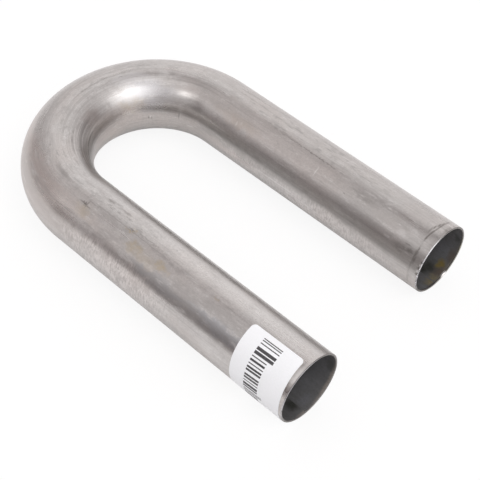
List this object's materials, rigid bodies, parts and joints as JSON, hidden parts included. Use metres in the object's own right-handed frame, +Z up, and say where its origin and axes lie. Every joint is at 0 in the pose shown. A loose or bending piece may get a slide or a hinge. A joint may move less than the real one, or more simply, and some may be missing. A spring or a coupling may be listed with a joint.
{
  "type": "tube return bend",
  "caption": "Bare steel tube bent through a half turn, with long parallel straight legs, open square-cut ends and a white paper label on one leg.",
  "frame": {"origin": "under the middle of the tube's outline, on the surface it lies on", "axes": "+Z up, legs along -Y from the bend, labelled leg on the -X side"},
  "size_m": [0.1767, 0.2834, 0.0477],
  "materials": {
    "tube_steel": "satin",
    "label_paper": "matte"
  },
  "bodies": {
    "root": {"bent_tube": "tube_steel", "paper_label": "label_paper"}
  },
  "joints": []
}
